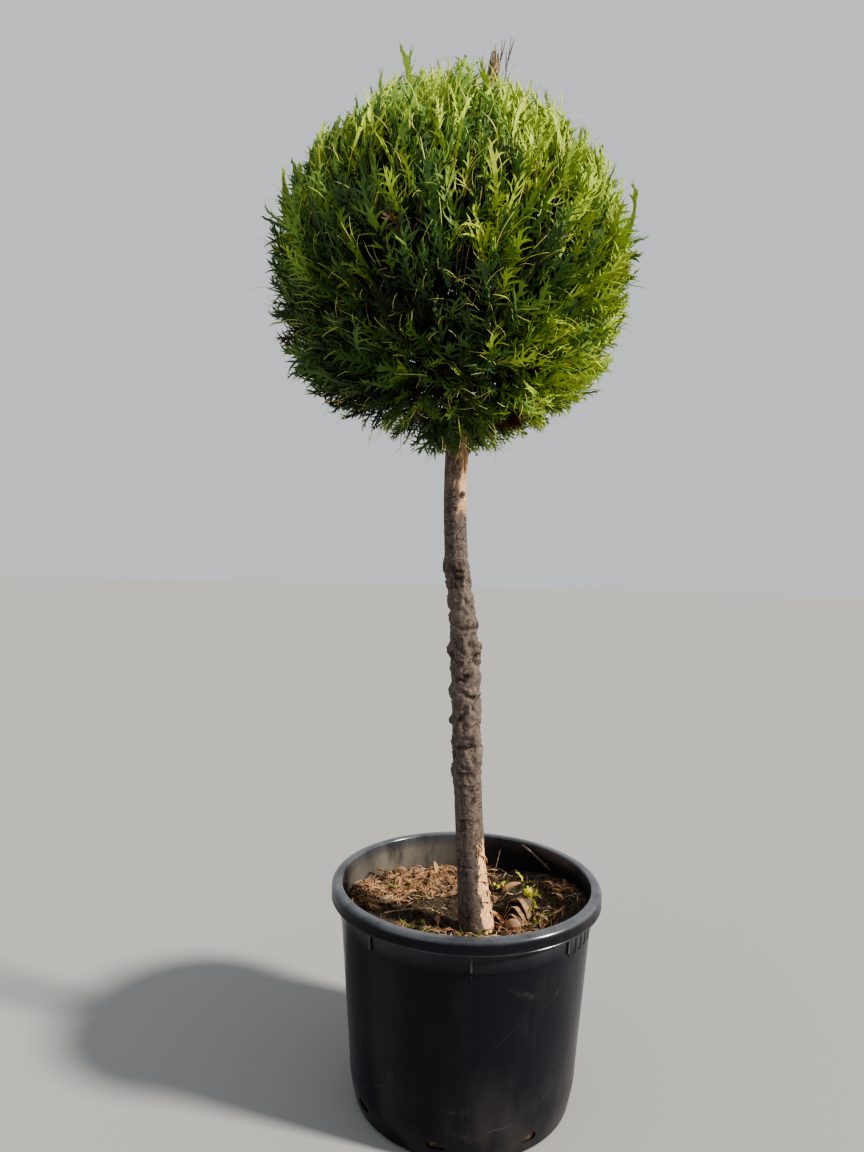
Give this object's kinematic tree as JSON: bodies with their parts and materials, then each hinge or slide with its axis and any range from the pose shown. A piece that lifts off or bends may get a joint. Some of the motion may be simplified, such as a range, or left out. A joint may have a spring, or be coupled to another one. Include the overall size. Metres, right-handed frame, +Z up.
{
  "type": "potted lollipop topiary conifer",
  "caption": "Clipped ball of scale-leaf conifer on a bare, slightly leaning stem, standing in a round black nursery pot filled with soil.",
  "frame": {"origin": "middle of the pot's flat underside, on the surface the pot stands on", "axes": "+Z up along the pot's axis; -Y is the front, from which the picture was taken; +X is to the right in the picture"},
  "size_m": [0.547, 0.5231, 1.513],
  "materials": {
    "pot_plastic": "satin",
    "soil": "matte",
    "bark": "matte",
    "dead_wood": "matte",
    "foliage": "matte"
  },
  "bodies": {
    "root": {"pot": "pot_plastic", "potting_soil": "soil", "trunk": "bark", "sawn_stub": "dead_wood", "bough_1": "bark", "bough_2": "bark", "bough_3": "bark", "bough_4": "bark", "bough_5": "bark", "bough_6": "bark", "clipped_crown": "foliage"}
  },
  "joints": []
}
